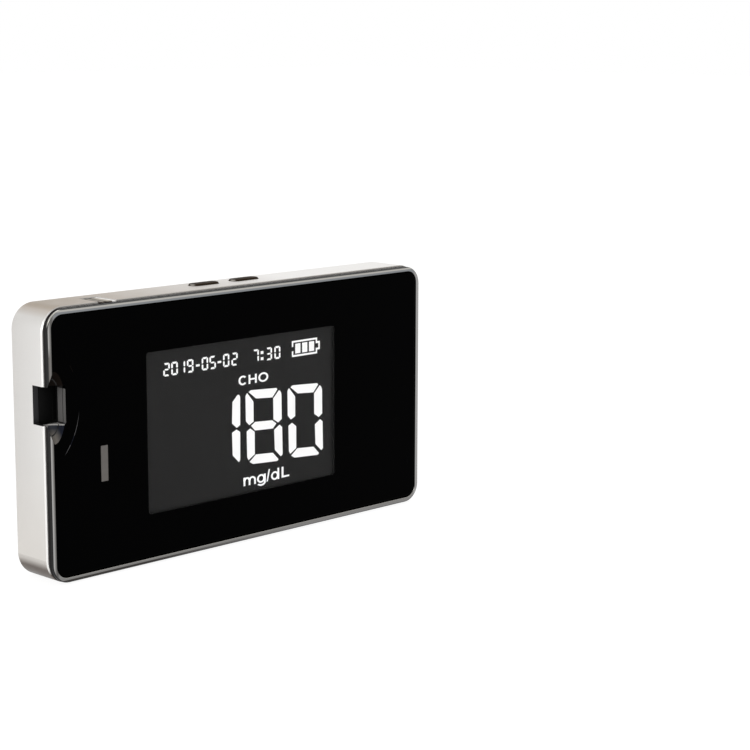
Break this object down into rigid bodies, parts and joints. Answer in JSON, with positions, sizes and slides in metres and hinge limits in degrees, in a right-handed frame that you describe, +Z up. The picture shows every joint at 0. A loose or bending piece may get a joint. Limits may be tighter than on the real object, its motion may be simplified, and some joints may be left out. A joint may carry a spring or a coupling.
{
  "type": "blood glucose meter",
  "caption": "Slim hand-held blood test meter with a dark screen in a glossy front, a side strip port, top buttons, a pull-out code key and a sliding battery cover.",
  "frame": {"origin": "bottom centre of the bounding box: on the bottom edge that the meter stands on, in the middle of its width and of its thickness", "axes": "+X to the right as one faces the screen, +Y from the screen to the back, +Z up"},
  "size_m": [0.098, 0.0112, 0.0521],
  "materials": {
    "shell_silver": "satin metallic lacquer on plastic",
    "frame_black": "high gloss",
    "bezel_chrome": "bright",
    "panel_black": "high gloss",
    "window_clear": "clear",
    "indicator_clear": "milky",
    "button_black": "gloss",
    "key_grey": "satin",
    "guide_black": "gloss",
    "screw_steel": "plain",
    "tape_black": "matte",
    "lcd_dark": "dark, polarised",
    "backlight_white": "milky",
    "led_white": "clear",
    "zebra_grey": "matte",
    "holder_white": "matte",
    "board_green": "satin",
    "chip_black": "matte",
    "shield_tin": "satin",
    "ceramic_tan": "satin",
    "contact_gold": "bright",
    "cell_steel": "satin",
    "spring_steel": "plain"
  },
  "bodies": {
    "meter": {"rear_shell": "shell_silver", "front_frame": "frame_black", "chrome_bezel": "bezel_chrome", "front_panel": "panel_black", "panel_tape": "tape_black", "display_window": "window_clear", "indicator_window": "indicator_clear", "lcd_seal": "tape_black", "lcd_glass": "lcd_dark", "lcd_backlight": "backlight_white", "backlight_leds": "led_white", "zebra_strip": "zebra_grey", "lcd_holder": "holder_white", "strip_guide": "guide_black", "strip_connector": "chip_black", "strip_contacts": "contact_gold", "main_board": "board_green", "board_screws": "screw_steel", "case_screws": "screw_steel", "processor_chip": "chip_black", "memory_chip": "chip_black", "analog_chip": "chip_black", "radio_board": "board_green", "radio_shield": "shield_tin", "clock_crystal": "shield_tin", "chip_capacitors": "ceramic_tan", "buzzer": "chip_black", "indicator_led": "led_white", "code_socket": "chip_black", "code_contacts": "contact_gold", "switch_left": "chip_black", "switch_right": "chip_black", "battery_holder": "guide_black", "coin_cell_left": "cell_steel", "coin_cell_right": "cell_steel", "negative_springs": "spring_steel", "positive_clips": "spring_steel"},
    "button_left": {"button_left": "button_black", "switch_plunger_left": "holder_white"},
    "button_right": {"button_right": "button_black", "switch_plunger_right": "holder_white"},
    "code_key": {"code_key_cap": "key_grey", "code_key_blade": "board_green"},
    "battery_cover": {"battery_cover": "shell_silver"}
  },
  "joints": [
    {"name": "button_left_press", "type": "slide", "parent": "meter", "child": "button_left", "axis": [0, 0, -1], "range_m": [0, 0.00035], "stiffness_N_per_m": 600},
    {"name": "button_right_press", "type": "slide", "parent": "meter", "child": "button_right", "axis": [0, 0, -1], "range_m": [0, 0.00035], "stiffness_N_per_m": 600},
    {"name": "code_key_pull", "type": "slide", "parent": "meter", "child": "code_key", "axis": [0, 0, 1], "range_m": [0, 0.012]},
    {"name": "battery_cover_slide", "type": "slide", "parent": "meter", "child": "battery_cover", "axis": [1, 0, 0], "range_m": [0, 0.046]}
  ]
}
